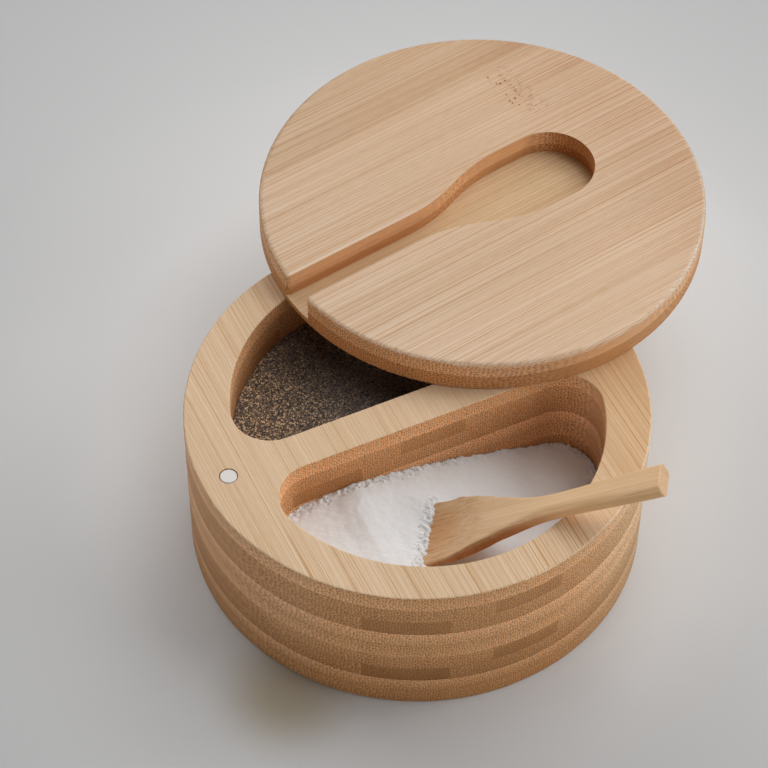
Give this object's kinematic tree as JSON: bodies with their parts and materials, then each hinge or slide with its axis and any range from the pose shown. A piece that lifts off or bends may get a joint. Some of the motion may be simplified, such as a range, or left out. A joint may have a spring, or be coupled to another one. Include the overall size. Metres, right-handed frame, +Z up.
{
  "type": "salt and pepper box",
  "caption": "Round bamboo salt and pepper box: a laminated block with a pocket for each, a flat lid that swings aside on a hidden pin and shuts on magnets, and a small spoon.",
  "frame": {"origin": "centre of the block's underside, on the surface that the box stands on", "axes": "+Z up; +X towards the pivot pin, which stands near the rim, with the block's magnet on -X; +Y towards the pepper pocket, with the salt pocket on -Y"},
  "size_m": [0.1915, 0.2043, 0.0776],
  "materials": {
    "bamboo_block": "satin",
    "bamboo_lid": "satin",
    "bamboo_spoon": "satin",
    "pin_steel": "satin",
    "magnet_plating": "satin",
    "salt": "matte",
    "pepper": "matte"
  },
  "bodies": {
    "block": {"block_ply_1": "bamboo_block", "block_ply_2": "bamboo_block", "block_ply_3": "bamboo_block", "block_ply_4": "bamboo_block", "block_ply_5": "bamboo_block", "block_ply_6": "bamboo_block", "block_ply_7": "bamboo_block", "block_ply_8": "bamboo_block", "block_ply_9": "bamboo_block", "pivot_pin": "pin_steel", "block_magnet": "magnet_plating", "salt_fill": "salt", "pepper_fill": "pepper"},
    "lid": {"lid_lower_ply": "bamboo_lid", "lid_upper_ply": "bamboo_lid", "lid_magnet": "magnet_plating"},
    "spoon": {"spoon": "bamboo_spoon"}
  },
  "joints": [
    {"name": "lid_turn", "type": "hinge", "parent": "block", "child": "lid", "pos_m": [0.0613, 0, 0.05355], "axis": [0, 0, 1], "range_deg": [0, 80.8]},
    {"name": "spoon_lift", "type": "slide", "parent": "block", "child": "spoon", "axis": [0, 0, 1], "range_m": [0, 0.0921]}
  ],
  "couplings": [
    {"joint": "spoon_lift", "follows": "lid_turn", "m_per_rad": 0.06524}
  ]
}
